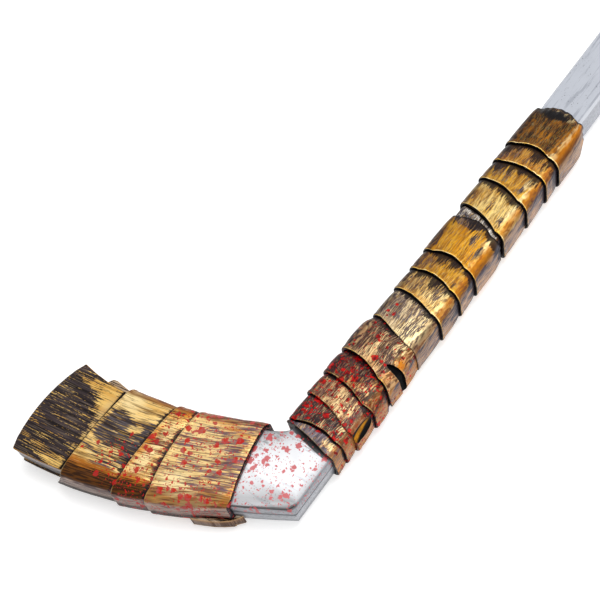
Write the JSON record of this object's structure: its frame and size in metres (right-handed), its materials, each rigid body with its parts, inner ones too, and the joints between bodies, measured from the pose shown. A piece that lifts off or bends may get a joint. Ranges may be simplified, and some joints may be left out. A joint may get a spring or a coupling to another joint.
{
  "type": "hockey stick",
  "caption": "Short-bladed hockey stick with a box-section shaft, a chunky upturned blade and overlapping bound straps.",
  "frame": {"origin": "centre of the stick's footprint on the surface that it lies on, blade and shaft flat", "axes": "+X up the shaft to the butt end, +Y towards the toe of the blade, +Z out of the front face"},
  "size_m": [0.9466, 0.1838, 0.0309],
  "materials": {
    "silver_paint": "brushed silver-grey paint, soft lengthwise streaks, worn edges",
    "gold_strap": "glossy gold and amber dry-brushed over black, with red spatter near the heel",
    "dark_strap": "dark grey with thin gold streaks, tan sides and dense red spatter",
    "tenon_core": "bare wood",
    "butt_plastic": "moulded black plastic, satin"
  },
  "bodies": {
    "root": {"blade_back_half": "silver_paint", "blade_front_half": "silver_paint", "blade_strap_1": "gold_strap", "blade_strap_2": "gold_strap", "blade_strap_3": "gold_strap", "blade_strap_tail": "dark_strap", "butt_plug": "butt_plastic", "shaft": "silver_paint", "shaft_strap_00_fold": "dark_strap", "shaft_strap_01": "dark_strap", "shaft_strap_02": "dark_strap", "shaft_strap_03": "dark_strap", "shaft_strap_04": "dark_strap", "shaft_strap_05": "gold_strap", "shaft_strap_06": "gold_strap", "shaft_strap_07": "gold_strap", "shaft_strap_08": "gold_strap", "shaft_strap_08_under": "dark_strap", "shaft_strap_09": "gold_strap", "shaft_strap_10": "gold_strap", "shaft_strap_11": "gold_strap", "shaft_strap_12_top": "gold_strap", "tenon": "tenon_core", "toe_back_plate": "gold_strap", "toe_front_plate": "gold_strap", "toe_strap_tab": "dark_strap"}
  },
  "joints": []
}
